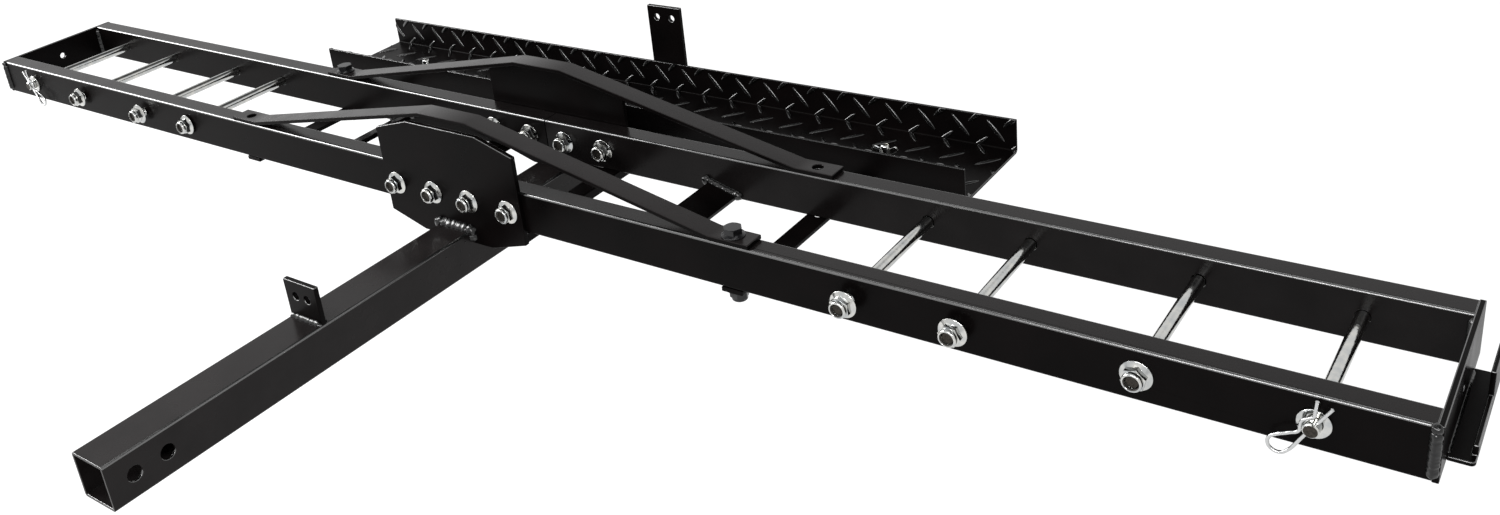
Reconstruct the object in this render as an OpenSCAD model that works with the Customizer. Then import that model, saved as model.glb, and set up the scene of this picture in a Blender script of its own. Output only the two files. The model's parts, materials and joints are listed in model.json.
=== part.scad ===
/* [Hitch tube] */
// Outside width of the square hitch tube
tube_w = 50.8; // [44:0.1:60]
// Wall of the hitch tube
tube_wall = 3; // [2:0.5:6]
// Open end of the tube to the inner hitch pin hole
pin_inset = 64; // [55:1:90]
// Inner hitch pin hole to the outer one
pin_hole_pitch = 36; // [24:1:40]
// Diameter of the hitch pin holes
hitch_hole_d = 16; // [13:0.5:19]
// Inner hitch pin hole to the front face of the near bracket plate
bracket_from_pin = 422; // [340:1:520]

/* [Strap lugs] */
// Thickness of both strap lugs
lug_t = 6; // [4:0.5:10]
// Inner hitch pin hole to the near strap lug
near_lug_from_pin = 196.4; // [120:0.1:260]
// Height of the near strap lug above the tube
near_lug_h = 44.8; // [38:0.1:70]
// Height of the near lug's holes above the tube
near_lug_hole_h = 26.8; // [16:0.1:28]
// Distance between the near lug's two holes
near_lug_pitch = 18.6; // [14:0.1:30]
// Width of the far strap lug
far_lug_w = 55; // [51:0.5:70]
// Height of the far strap lug above the rail tops
far_lug_rise = 59.2; // [30:0.1:90]
// Top edge of the far lug to its holes
far_lug_hole_drop = 16; // [12:0.5:30]
// Distance between the far lug's two holes
far_lug_pitch = 25; // [16:0.5:34]
// Diameter of the strap holes in both lugs
lug_hole_d = 9.5; // [6:0.5:12]

/* [Rails] */
// Length over both end plates
carrier_length = 2032; // [1920:1:2300]
// Width over both rails
track_w = 190.5; // [170:0.5:240]
// Width of one rail tube
rail_w = 25.4; // [22:0.1:32]
// Height of one rail tube
rail_h = 50.8; // [46:0.1:64]
// Wall of the rail tubes
rail_wall = 2.5; // [1.5:0.1:4]
// Outside corner radius of the rail tubes
rail_corner = 3; // [1:0.5:4]
// Gap between the two halves at the middle
seam_gap = 1; // [0.5:0.5:4]
// Thickness of the end plates
end_plate_t = 5; // [3:0.5:8]
// Hole in the middle of each end plate
end_hole_d = 9; // [6:0.5:20]

/* [Cross members] */
// Middle of the carrier to the middle of each cross member
member_x = 266.5; // [200:0.5:330]
// Width of the cross member bar
member_w = 38; // [25:0.5:50]
// Thickness of the cross member bar
member_t = 6; // [4:0.5:8]
// Rail underside to the middle of the cross member
member_z = 8.5; // [8:0.5:20]
// Tilt of the cross members
member_tilt = 18; // [0:1:24]

/* [Bracket] */
// Thickness of the two bracket plates
plate_t = 6; // [4:0.5:10]
// Width of the bracket plates
plate_w = 220; // [204:1:260]
// Height of the bracket plates above the rail tops
plate_rise = 61.2; // [40:0.1:64]
// Depth of the bracket plates below the rail underside
plate_drop = 30; // [26:0.5:44]
// Width cut from each corner of the plates
plate_cut_w = 54; // [30:1:66]
// Height cut from each corner of the plates
plate_cut_h = 16; // [8:0.5:24]
// Height of the saddle bars, from the hitch tube to the rails
saddle_h = 12.7; // [10:0.1:20]
// Width of the saddle bars
saddle_w = 25.4; // [20:0.1:32]
// Wall of the saddle bars
saddle_wall = 2; // [1.5:0.1:3]
// Middle of the carrier to the inner bracket bolts
inner_bolt_x = 29; // [22:0.5:38]
// Side of the plate to the outer bracket bolts
outer_bolt_inset = 19; // [18:0.5:24]
// Diameter of the bracket bolts
bracket_bolt_d = 12.7; // [10:0.1:13]

/* [Braces] */
// Thickness of the brace straps
strap_t = 5; // [3:0.5:7]
// Middle of the carrier to the bolt hole at each end of a strap
strap_hole_x = 388; // [350:1:420]
// Bolt hole to the end of the strap
strap_end = 25; // [14:1:40]
// Bolt hole to the bend at the foot of the strap
strap_foot = 23; // [14:1:40]
// Length of the strap's flat top
strap_top_l = 76; // [40:1:120]
// Height of the strap's flat top above the rails
strap_rise = 67.7; // [62:0.1:90]
// Diameter of the strap bolts
strap_bolt_d = 12; // [8:0.5:13]

/* [Ramp and arms] */
// Width of the two ramp arms
arm_w = 25.4; // [22:0.1:40]
// Thickness of the ramp arms
arm_t = 5; // [4:0.5:8]
// Length of the slots in the arms
arm_slot_l = 22; // [16:0.5:24]
// End of each arm past its stud
arm_end = 12; // [9:0.5:20]
// Far rail to the near wall of the ramp
ramp_gap = 65.5; // [40:0.5:90]
// Length of the ramp
ramp_l = 1044; // [940:1:1150]
// Width over the ramp's walls
ramp_w = 140.5; // [110:0.5:160]
// Height of the ramp's walls, floor included
ramp_h = 42.7; // [30:0.1:60]
// Sheet thickness of the ramp
ramp_t = 3; // [2:0.5:4]
// Outside bend radius of the ramp
ramp_bend = 5; // [4.5:0.5:8]
// Far wall of the ramp to the far strap lug
ramp_lug_gap = 29.5; // [10:0.5:60]
// Diameter of the ramp studs
stud_d = 8; // [6:0.5:10]
// Height of the studs above the ramp's floor
stud_rise = 13.5; // [12:0.5:26]
// Across flats of the studs' heads
stud_af = 13; // [11:0.5:17]
// Height of the studs' heads
stud_head_t = 5.5; // [3:0.5:7]

/* [Ramp hook] */
// Reach of the hook past the end plate
hook_reach = 19; // [14:0.5:30]
// Sheet thickness of the hook
hook_t = 4; // [3:0.5:5]
// Length of the hook's floor
hook_l = 128; // [110:1:135]
// Near end of the hook to the start of its lip
lip_start = 10; // [6:0.5:16]
// Height of the lip, floor included
lip_h = 13; // [8:0.5:20]
// Length of the tall tab
tab_l = 48; // [30:0.5:60]
// Height of the tall tab, floor included
tab_h = 35; // [22:0.5:46]

/* [Cross rods] */
// Diameter of the cross rods
rod_d = 12.7; // [10:0.1:13]
// Middle of the carrier to each cross rod
rod_x = [524, 634, 794]; // [480:1:800]
// Free rod between the rail and each near nut, left half
slack_left = [2, 6, 5]; // [0:0.5:12]
// Free rod between the rail and each near nut, right half
slack_right = [10, 8, 0]; // [0:0.5:12]
// Depth of a rod or bolt end inside its lock nut
end_recess = 2.5; // [1:0.5:4]

/* [Quick pins] */
// Diameter of the quick pins
quick_pin_d = 12.7; // [10:0.1:13]
// End of the carrier to the quick pins
quick_pin_inset = 86; // [70:1:110]
// Length of the pin past the near rail
quick_pin_tip = 13; // [12:0.5:20]
// Near rail to the middle of the clip
clip_offset = 8; // [6:0.5:9]
// Diameter of the quick pin's head
quick_head_d = 20; // [17:0.5:26]
// Thickness of the quick pin's head
quick_head_t = 5; // [3:0.5:8]

/* [Clips] */
// Wire diameter of the clips
wire_d = 3; // [2:0.1:3.4]
// Pin to the end of the clip's straight leg
leg_tip = 25; // [16:0.5:32]
// Pin to the middle of the clip's loop
loop_from_pin = 31; // [24:0.5:40]
// Radius of the clip's loop
loop_r = 7.9; // [6:0.1:10]
// Length of the flared tail along the leg
tail_l = 13.5; // [8:0.5:18]
// Rise of the flared tail
tail_rise = 7; // [3:0.5:9]
// Angle of the clip's straight leg
clip_angle = 58; // [40:1:75]

/* [Nuts and washers] */
// Across flats of the half inch nuts and heads
hex_af = 19; // [17:0.1:22]
// Height of the half inch lock nuts, flange included
nut_t = 13.5; // [12:0.5:16]
// Height of the half inch heads, flange included
head_t = 9; // [7:0.5:12]
// Flange diameter of the half inch nuts and heads
flange_d = 28; // [25:0.5:32]
// Across flats of the strap bolts and their nuts
strap_hex_af = 18; // [14:0.5:19]
// Flange diameter of the strap bolts and their nuts
strap_flange_d = 25; // [20:0.5:25]
// Height of the strap bolts' heads, flange included
strap_head_t = 9.5; // [7:0.5:12]
// Height of the strap bolts' lock nuts, flange included
strap_nut_t = 13; // [12:0.5:15]
// Outside diameter of the quick pins' washers
pin_washer_d = 26; // [24:0.5:34]
// Thickness of the quick pins' washers
washer_t = 2.5; // [1.5:0.1:3]
// Hub diameter of the wing nuts
wing_hub_d = 13; // [12:0.5:18]
// Hub height of the wing nuts
wing_hub_h = 14; // [8:0.5:16]
// Span of the wing nuts over both wings
wing_span = 32; // [28:0.5:48]
// Height of the wings
wing_h = 12; // [10:0.5:20]
// Thickness of the wings
wing_t = 3; // [2:0.5:4]
// Angle at which the left and the right wing nut stopped
wing_turn = [-32, 12]; // [-90:1:90]

/* [Clearances] */
// Bolt and rod holes over their shanks, on the diameter
bolt_play = 0.8; // [0.4:0.1:1.5]
// Turning and sliding fits, on the diameter
run_play = 0.16; // [0.1:0.02:0.2]
// Thread of a nut over its bolt, on the diameter
thread_play = 0.1; // [0.06:0.02:0.2]
// Stud holes of the ramp over the studs, on the diameter
ramp_play = 1; // [0.6:0.1:3]
// Clip bow over the pin
bow_gap = 0.6; // [0.4:0.1:1.5]

/* [Hidden] */
$fn = 48;
// Overshoot of a cutting body
eps = 1;
// Heights, from the middle of the hitch tube
tube_top = tube_w / 2;
rail_z0 = tube_top + saddle_h;
rail_z1 = rail_z0 + rail_h;
axis_z = rail_z0 + rail_h / 2;
plate_z0 = rail_z0 - plate_drop;
plate_z1 = rail_z1 + plate_rise;
// Places along the hitch tube
near_y0 = bracket_from_pin + plate_t;
near_y1 = near_y0 + rail_w;
far_y1 = near_y0 + track_w;
far_y0 = far_y1 - rail_w;
near_mid_y = near_y0 + rail_w / 2;
far_mid_y = far_y1 - rail_w / 2;
ramp_y0 = far_y1 + ramp_gap;
ramp_y1 = ramp_y0 + ramp_w;
stud_y = ramp_y0 + ramp_w / 2;
tube_y1 = ramp_y1 + ramp_lug_gap;
// Places across
half_l = carrier_length / 2;
rail_x0 = seam_gap / 2;
rail_x1 = half_l - end_plate_t;
quick_x = half_l - quick_pin_inset;
outer_bolt_x = plate_w / 2 - outer_bolt_inset;
bracket_bolt_x = [-outer_bolt_x, -inner_bolt_x, inner_bolt_x, outer_bolt_x];
edge_cut = 1;
// Nuts end in a collar whose lip holds a nylon ring
collar_t = 4.2;
collar_wall = 1.4;
lip_t = 0.8;
lip_gap = 0.8;
ring_t = 2.4;
// Flanges have a straight rim, then a cone up to the hexagon
rim_t = 1.4;
cone_t = 2.2;
// Clip path, with the pin's axis at the origin and the leg along the first axis
bow_peak = quick_pin_d / 2 + wire_d / 2 + bow_gap;
dip_u = quick_pin_d / 2 + wire_d;
dip_v = quick_pin_d / 3;
bow_sag = bow_peak - dip_v;
bow_r = (dip_u * dip_u + bow_sag * bow_sag) / (2 * bow_sag);
bow_half = asin(dip_u / bow_r);
dip_from_loop = [loop_from_pin - dip_u, dip_v - loop_r];
loop_end = atan2(dip_from_loop.y, dip_from_loop.x) + acos(loop_r / norm(dip_from_loop));
// Sides of the clip's wire, and steps of each bend in it
wire_sides = 12;
arc_steps = 12;
// Bend of the brace straps
strap_slope = atan2(strap_rise, strap_hole_x - strap_foot - strap_top_l / 2);
strap_mitre = strap_t * tan(strap_slope / 2);

coat = "#232324";
zinc = "#c4c8cc";
black_steel = "#2a2a2c";
nylon = "#d8d8d2";

// Turns what is drawn upwards so that it points along +Y
module along_y() {
    rotate([-90, 0, 0]) children();
}

// Draws its children on the right half, or mirrored on the left half
module on_side(side) {
    if (side > 0) children();
    else mirror([1, 0, 0]) children();
}

// Flat outline in X and Z, made a plate from y0 to y1
module plate_xz(y0, y1) {
    translate([0, y1, 0]) rotate([90, 0, 0]) linear_extrude(y1 - y0) children();
}

// Flat outline in Y and Z, made a bar from x0 to x1
module bar_yz(x0, x1) {
    translate([x0, 0, 0]) rotate([90, 0, 90]) linear_extrude(x1 - x0) children();
}

// Round hole along Y
module y_hole(d, y0, y1) {
    translate([0, y0 - eps, 0]) along_y() cylinder(d = d, h = y1 - y0 + 2 * eps);
}

// Round hole along Z
module z_hole(d, z0, z1) {
    translate([0, 0, z0 - eps]) cylinder(d = d, h = z1 - z0 + 2 * eps);
}

module hex(af, h) {
    cylinder(d = af / cos(30), h = h, $fn = 6);
}

// Rectangle with round corners, centred
module round_rect(w, h, r) {
    square([w - 2 * r, h], center = true);
    square([w, h - 2 * r], center = true);
    for (sx = [-1, 1], sy = [-1, 1]) translate([sx * (w / 2 - r), sy * (h / 2 - r)]) circle(r);
}

// Straight rim and cone under a hexagon, from the origin up
module flange(wide, af) {
    cylinder(d = wide, h = rim_t);
    translate([0, 0, rim_t]) cylinder(d1 = wide - edge_cut, d2 = af, h = cone_t);
}

// Shank from the origin down by l, with its end cut back
module shank(d, l) {
    translate([0, 0, -l + edge_cut]) cylinder(d = d, h = l - edge_cut);
    translate([0, 0, -l]) cylinder(d1 = d - 2 * edge_cut, d2 = d, h = edge_cut);
}

// Flange bolt whose head stands on the origin and whose shank points down by l
module flange_bolt(d, l, af, wide, head_h) {
    hex(af, head_h);
    flange(wide, af);
    shank(d, l);
}

// Flange lock nut that stands on the origin, with its collar upwards
module lock_nut(d, af, wide, h) {
    difference() {
        union() {
            hex(af, h - collar_t);
            flange(wide, af);
            translate([0, 0, h - collar_t]) cylinder(d = af - edge_cut, h = collar_t);
        }
        translate([0, 0, -eps]) cylinder(d = d + thread_play, h = h);
        translate([0, 0, h - lip_t - ring_t]) cylinder(d = af - edge_cut - 2 * collar_wall, h = ring_t);
        translate([0, 0, h - lip_t - eps]) cylinder(d = d + 2 * lip_gap, h = lip_t + 2 * eps);
    }
}

// Nylon ring in the collar of a lock nut
module nut_ring(d, af, h) {
    translate([0, 0, h - lip_t - ring_t]) difference() {
        cylinder(d = af - edge_cut - 2 * collar_wall, h = ring_t);
        translate([0, 0, -eps]) cylinder(d = d + thread_play, h = ring_t + 2 * eps);
    }
}

module hitch_tube() {
    color(coat) difference() {
        translate([0, -pin_inset, 0]) along_y() linear_extrude(tube_y1 + pin_inset) difference() {
            round_rect(tube_w, tube_w, tube_wall);
            square(tube_w - 2 * tube_wall, center = true);
        }
        for (y = [0, -pin_hole_pitch]) {
            translate([-tube_w / 2 - eps, y, 0]) rotate([0, 90, 0])
                cylinder(d = hitch_hole_d, h = tube_w + 2 * eps);
        }
    }
}

module strap_lug_near() {
    color(coat) plate_xz(near_lug_from_pin, near_lug_from_pin + lug_t) difference() {
        translate([-tube_w / 2, tube_top]) square([tube_w, near_lug_h]);
        for (x = [-1, 1]) {
            translate([x * near_lug_pitch / 2, tube_top + near_lug_hole_h]) circle(d = lug_hole_d);
        }
    }
}

// Closes the far end of the tube and stands up behind the ramp
module strap_lug_far() {
    lug_top = rail_z1 + far_lug_rise;
    color(coat) plate_xz(tube_y1, tube_y1 + lug_t) difference() {
        translate([-far_lug_w / 2, -tube_top]) square([far_lug_w, lug_top + tube_top]);
        for (x = [-1, 1]) {
            translate([x * far_lug_pitch / 2, lug_top - far_lug_hole_drop]) circle(d = lug_hole_d);
        }
    }
}

// Eight-sided plate that straddles the hitch tube
module bracket_outline() {
    w = plate_w / 2;
    difference() {
        polygon([
            [w, plate_z0 + plate_cut_h], [w, plate_z1 - plate_cut_h],
            [w - plate_cut_w, plate_z1], [plate_cut_w - w, plate_z1],
            [-w, plate_z1 - plate_cut_h], [-w, plate_z0 + plate_cut_h],
            [plate_cut_w - w, plate_z0], [w - plate_cut_w, plate_z0]
        ]);
        translate([-tube_w / 2, plate_z0 - eps]) square([tube_w, tube_top - plate_z0 + eps]);
        for (x = bracket_bolt_x) translate([x, axis_z]) circle(d = bracket_bolt_d + bolt_play);
    }
}

module bracket_plate_near() {
    color(coat) plate_xz(bracket_from_pin, near_y0) bracket_outline();
}

module bracket_plate_far() {
    color(coat) plate_xz(far_y1, far_y1 + plate_t) bracket_outline();
}

// Tube between the bracket plates, under the rails
module saddle_bar(side) {
    mid_x = side * (plate_w - saddle_w) / 2;
    color(coat) plate_xz(near_y0, far_y1) translate([mid_x, tube_top + saddle_h / 2]) difference() {
        round_rect(saddle_w, saddle_h, saddle_wall);
        square([saddle_w - 2 * saddle_wall, saddle_h - 2 * saddle_wall], center = true);
    }
}

// One rail half, with the holes of what passes through it
module rail(side, mid_y) {
    y0 = mid_y - rail_w / 2;
    y1 = mid_y + rail_w / 2;
    color(coat) on_side(side) difference() {
        bar_yz(rail_x0, rail_x1) translate([mid_y, axis_z]) difference() {
            round_rect(rail_w, rail_h, rail_corner);
            square([rail_w - 2 * rail_wall, rail_h - 2 * rail_wall], center = true);
        }
        for (x = [inner_bolt_x, outer_bolt_x]) {
            translate([x, 0, axis_z]) y_hole(bracket_bolt_d + bolt_play, y0, y1);
        }
        for (x = rod_x) translate([x, 0, axis_z]) y_hole(rod_d + bolt_play, y0, y1);
        translate([quick_x, 0, axis_z]) y_hole(quick_pin_d + run_play, y0, y1);
        translate([strap_hole_x, mid_y, 0]) z_hole(strap_bolt_d + bolt_play, rail_z0, rail_z1);
    }
}

module end_plate(side) {
    color(coat) on_side(side) difference() {
        translate([rail_x1, near_y0, rail_z0]) cube([end_plate_t, track_w, rail_h]);
        translate([rail_x1 - eps, near_y0 + track_w / 2, axis_z]) rotate([0, 90, 0])
            cylinder(d = end_hole_d, h = end_plate_t + 2 * eps);
    }
}

// Flat bar between the rails of one half, tilted down towards the end
module cross_member(side) {
    color(coat) on_side(side) translate([member_x, near_y1, rail_z0 + member_z]) rotate([0, member_tilt, 0])
        translate([-member_w / 2, 0, -member_t / 2]) cube([member_w, far_y0 - near_y1, member_t]);
}

// Catch for the ramp's end, outside the right end plate
module ramp_hook() {
    y0 = near_y0 + (track_w - hook_l) / 2;
    color(coat) translate([half_l, y0, rail_z0]) {
        linear_extrude(hook_t) {
            translate([0, hook_t]) square([hook_reach, hook_l - hook_t]);
            square([hook_reach - hook_t, hook_l]);
            translate([hook_reach - hook_t, hook_t]) circle(hook_t);
        }
        bar_yz(hook_reach - hook_t, hook_reach) {
            translate([lip_start, 0]) square([hook_l - lip_start, lip_h]);
            translate([hook_l - tab_l, 0]) square([tab_l, tab_h]);
        }
    }
}

// Bent strap over one pair of rail halves
module brace_strap(mid_y) {
    foot_x = strap_hole_x - strap_foot;
    end_x = strap_hole_x + strap_end;
    top_x = strap_top_l / 2;
    color(coat) difference() {
        translate([0, 0, rail_z1]) plate_xz(mid_y - rail_w / 2, mid_y + rail_w / 2) polygon([
            [-end_x, 0], [-foot_x, 0], [-top_x, strap_rise],
            [top_x, strap_rise], [foot_x, 0], [end_x, 0],
            [end_x, strap_t], [foot_x + strap_mitre, strap_t], [top_x + strap_mitre, strap_rise + strap_t],
            [-top_x - strap_mitre, strap_rise + strap_t], [-foot_x - strap_mitre, strap_t], [-end_x, strap_t]
        ]);
        for (x = [-strap_hole_x, strap_hole_x]) {
            translate([x, mid_y, 0]) z_hole(strap_bolt_d + bolt_play, rail_z1, rail_z1 + strap_t);
        }
    }
}

// Flat bar under both rails that reaches out to the ramp
module ramp_arm(side) {
    slot_w = strap_bolt_d + bolt_play;
    slot_mid = (arm_slot_l - slot_w) / 2;
    color(coat) on_side(side) translate([strap_hole_x, 0, rail_z0 - arm_t]) linear_extrude(arm_t) difference() {
        translate([-arm_w / 2, near_y0]) square([arm_w, stud_y + arm_end - near_y0]);
        for (y = [near_mid_y, far_mid_y]) translate([0, y]) {
            square([slot_w, 2 * slot_mid], center = true);
            for (s = [-1, 1]) translate([0, s * slot_mid]) circle(d = slot_w);
        }
        translate([0, stud_y]) circle(d = stud_d + thread_play);
    }
}

// Bolt up through each arm, for the ramp
module ramp_studs() {
    color(zinc) for (x = [-strap_hole_x, strap_hole_x]) {
        translate([x, stud_y, rail_z0 - arm_t]) mirror([0, 0, 1]) hex(stud_af, stud_head_t);
        translate([x, stud_y, rail_z0 - arm_t]) mirror([0, 0, 1]) shank(stud_d, arm_t + ramp_t + stud_rise);
    }
}

// Channel of tread sheet, open upwards, bolted down on the arms
module ramp() {
    inner_bend = ramp_bend - ramp_t;
    color(coat) difference() {
        bar_yz(-ramp_l / 2, ramp_l / 2) translate([ramp_y0, rail_z0]) difference() {
            union() {
                translate([ramp_bend, 0]) square([ramp_w - 2 * ramp_bend, ramp_h]);
                translate([0, ramp_bend]) square([ramp_w, ramp_h - ramp_bend]);
                for (y = [ramp_bend, ramp_w - ramp_bend]) translate([y, ramp_bend]) circle(ramp_bend);
            }
            translate([ramp_t + inner_bend, ramp_t]) square([ramp_w - 2 * ramp_t - 2 * inner_bend, ramp_h]);
            translate([ramp_t, ramp_t + inner_bend]) square([ramp_w - 2 * ramp_t, ramp_h]);
            for (y = [ramp_bend, ramp_w - ramp_bend]) translate([y, ramp_bend]) circle(inner_bend);
        }
        for (x = [-strap_hole_x, strap_hole_x]) {
            translate([x, stud_y, 0]) z_hole(stud_d + ramp_play, rail_z0, rail_z0 + ramp_t);
        }
    }
}

// Wing nut that stands on the ramp's floor
module wing_nut(side) {
    wing_r = wing_h / 3;
    turn = wing_turn[side > 0 ? 1 : 0];
    seat = [side * strap_hole_x, stud_y, rail_z0 + ramp_t];
    color(zinc) translate(seat) rotate([0, 0, turn]) difference() {
        union() {
            cylinder(d1 = wing_hub_d, d2 = wing_hub_d - 2 * edge_cut, h = wing_hub_h);
            plate_xz(-wing_t / 2, wing_t / 2) for (s = [-1, 1]) {
                translate([s * (wing_span / 2 - wing_r), wing_h - wing_r]) circle(wing_r);
                polygon([
                    [0, edge_cut], [s * wing_hub_d / 2, edge_cut],
                    [s * wing_span / 2, wing_h - wing_r], [s * (wing_span / 2 - 2 * wing_r), wing_h - wing_r],
                    [0, wing_h - edge_cut]
                ]);
            }
        }
        translate([0, 0, -eps]) cylinder(d = stud_d + run_play, h = wing_hub_h + 2 * eps);
    }
}

// Face of one rod's near nut: the rail, less the free rod
function near_seat(slack) = near_y0 - slack;

// Places its children at each cross rod, in the frame of that rod's near nut
module at_near_rod_end() {
    for (i = [0 : len(rod_x) - 1]) {
        translate([rod_x[i], near_seat(slack_right[i]), axis_z]) rotate([90, 0, 0]) children();
        translate([-rod_x[i], near_seat(slack_left[i]), axis_z]) rotate([90, 0, 0]) children();
    }
}

// Long bolts from the far rail through the near rail
module cross_rods() {
    color(zinc) for (i = [0 : len(rod_x) - 1], side = [-1, 1]) {
        slack = side > 0 ? slack_right[i] : slack_left[i];
        end_y = near_seat(slack) - nut_t + end_recess;
        translate([side * rod_x[i], far_y1, axis_z]) along_y()
            flange_bolt(rod_d, far_y1 - end_y, hex_af, flange_d, head_t);
    }
}

module rod_nuts() {
    color(zinc) at_near_rod_end() lock_nut(rod_d, hex_af, flange_d, nut_t);
}

module rod_nut_rings() {
    color(nylon) at_near_rod_end() nut_ring(rod_d, hex_af, nut_t);
}

// Pin with a round head on the far rail and a cross hole for its clip
module quick_pin(side) {
    tip_y = near_y0 - quick_pin_tip;
    color(zinc) on_side(side) difference() {
        union() {
            translate([quick_x, far_y1, axis_z]) along_y() cylinder(d = quick_head_d, h = quick_head_t);
            translate([quick_x, tip_y + edge_cut, axis_z]) along_y()
                cylinder(d = quick_pin_d, h = far_y1 - tip_y - edge_cut);
            translate([quick_x, tip_y, axis_z]) along_y()
                cylinder(d1 = quick_pin_d - 2 * edge_cut, d2 = quick_pin_d, h = edge_cut);
        }
        translate([quick_x, near_y0 - clip_offset, axis_z]) rotate([0, 90 - clip_angle, 0])
            cylinder(d = wire_d + run_play, h = 2 * quick_pin_d, center = true);
    }
}

module pin_washer(side) {
    color(zinc) translate([side * quick_x, near_y0, axis_z]) rotate([90, 0, 0]) difference() {
        cylinder(d = pin_washer_d, h = washer_t);
        translate([0, 0, -eps]) cylinder(d = quick_pin_d + bolt_play, h = washer_t + 2 * eps);
    }
}

function unit(v) = v / norm(v);
// Direction of the wire after point i
function run_dir(path, i) = unit(path[i + 1] - path[i]);
// Direction of the wire at point i, halfway round its bend
function bend_dir(path, i) =
    i == 0 ? run_dir(path, 0)
    : i == len(path) - 1 ? run_dir(path, i - 1)
    : unit(run_dir(path, i - 1) + run_dir(path, i));
// Ring of the wire at point i, cut across the bend
function wire_ring(path, d, i) =
    let (t = bend_dir(path, i), wide = 1 / (t * run_dir(path, min(i, len(path) - 2))))
    [for (k = [0 : wire_sides - 1])
        let (a = 360 * k / wire_sides, across = d / 2 * wide * cos(a))
        [path[i].x - t.y * across, path[i].y + t.x * across, d / 2 * sin(a)]];
function arc_points(c, r, from, to) =
    [for (i = [0 : arc_steps]) let (a = from + (to - from) * i / arc_steps) c + r * [cos(a), sin(a)]];

// Wire along a flat path
module wire(path, d) {
    n = len(path);
    rings = [for (i = [0 : n - 1]) each wire_ring(path, d, i)];
    sides = [for (i = [0 : n - 2], k = [0 : wire_sides - 1])
        let (a = i * wire_sides + k, b = i * wire_sides + (k + 1) % wire_sides)
        each [[a, a + wire_sides, b], [b, a + wire_sides, b + wire_sides]]];
    first_end = [for (k = [0 : wire_sides - 1]) k];
    last_end = [for (k = [wire_sides - 1 : -1 : 0]) (n - 1) * wire_sides + k];
    polyhedron(points = rings, faces = concat([first_end, last_end], sides));
}

// Clip with one leg through the pin and a bow round its outside
module r_clip(side) {
    path = concat(
        [[leg_tip, 0]],
        arc_points([-loop_from_pin, loop_r], loop_r, 270, loop_end),
        arc_points([0, bow_peak - bow_r], bow_r, 90 + bow_half, 90 - bow_half),
        [[dip_u + tail_l, dip_v + tail_rise]]
    );
    color(zinc) on_side(side) translate([quick_x, near_y0 - clip_offset, axis_z]) rotate([90, 0, 0])
        rotate([0, 0, clip_angle]) wire(path, wire_d);
}

// Places its children at each bracket bolt: the near ones hold a plate and a rail in front,
// the far ones a rail and a plate behind
module at_bracket_bolts(near_y, far_y) {
    for (x = bracket_bolt_x) {
        translate([x, near_y, axis_z]) children();
        translate([x, far_y, axis_z]) children();
    }
}

module bracket_bolts() {
    grip = plate_t + rail_w;
    color(zinc) at_bracket_bolts(near_y1, far_y1 + plate_t) along_y()
        flange_bolt(bracket_bolt_d, grip + nut_t - end_recess, hex_af, flange_d, head_t);
}

module bracket_nuts() {
    color(zinc) at_bracket_bolts(bracket_from_pin, far_y0) rotate([90, 0, 0])
        lock_nut(bracket_bolt_d, hex_af, flange_d, nut_t);
}

module bracket_nut_rings() {
    color(nylon) at_bracket_bolts(bracket_from_pin, far_y0) rotate([90, 0, 0])
        nut_ring(bracket_bolt_d, hex_af, nut_t);
}

// Places its children at the near right and the far left strap holes
module at_strap_bolts(z) {
    translate([strap_hole_x, near_mid_y, z]) children();
    translate([-strap_hole_x, far_mid_y, z]) children();
}

module strap_bolts() {
    grip = strap_t + rail_h + arm_t;
    color(black_steel) at_strap_bolts(rail_z1 + strap_t)
        flange_bolt(strap_bolt_d, grip + strap_nut_t - end_recess, strap_hex_af, strap_flange_d, strap_head_t);
}

module strap_nuts() {
    color(black_steel) at_strap_bolts(rail_z0 - arm_t) mirror([0, 0, 1])
        lock_nut(strap_bolt_d, strap_hex_af, strap_flange_d, strap_nut_t);
}

module strap_nut_rings() {
    color(nylon) at_strap_bolts(rail_z0 - arm_t) mirror([0, 0, 1])
        nut_ring(strap_bolt_d, strap_hex_af, strap_nut_t);
}

hitch_tube();
strap_lug_near();
strap_lug_far();
bracket_plate_near();
bracket_plate_far();
saddle_bar(-1);  // saddle_bar_left
saddle_bar(1);  // saddle_bar_right
rail(-1, near_mid_y);  // rail_near_left
rail(-1, far_mid_y);  // rail_far_left
rail(1, near_mid_y);  // rail_near_right
rail(1, far_mid_y);  // rail_far_right
end_plate(-1);  // end_plate_left
end_plate(1);  // end_plate_right
cross_member(-1);  // cross_member_left
cross_member(1);  // cross_member_right
ramp_hook();
brace_strap(near_mid_y);  // brace_strap_near
brace_strap(far_mid_y);  // brace_strap_far
ramp_arm(-1);  // ramp_arm_left
ramp_arm(1);  // ramp_arm_right
ramp_studs();
ramp();
wing_nut(-1);  // wing_nut_left
wing_nut(1);  // wing_nut_right
cross_rods();
rod_nuts();
rod_nut_rings();
quick_pin(-1);  // quick_pin_left
quick_pin(1);  // quick_pin_right
pin_washer(-1);  // pin_washer_left
pin_washer(1);  // pin_washer_right
r_clip(-1);  // r_clip_left
r_clip(1);  // r_clip_right
bracket_bolts();
bracket_nuts();
bracket_nut_rings();
strap_bolts();
strap_nuts();
strap_nut_rings();
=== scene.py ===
import json
from collections import namedtuple
from math import cos, pi, radians, sin
import bpy
from mathutils import Matrix, Vector


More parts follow.
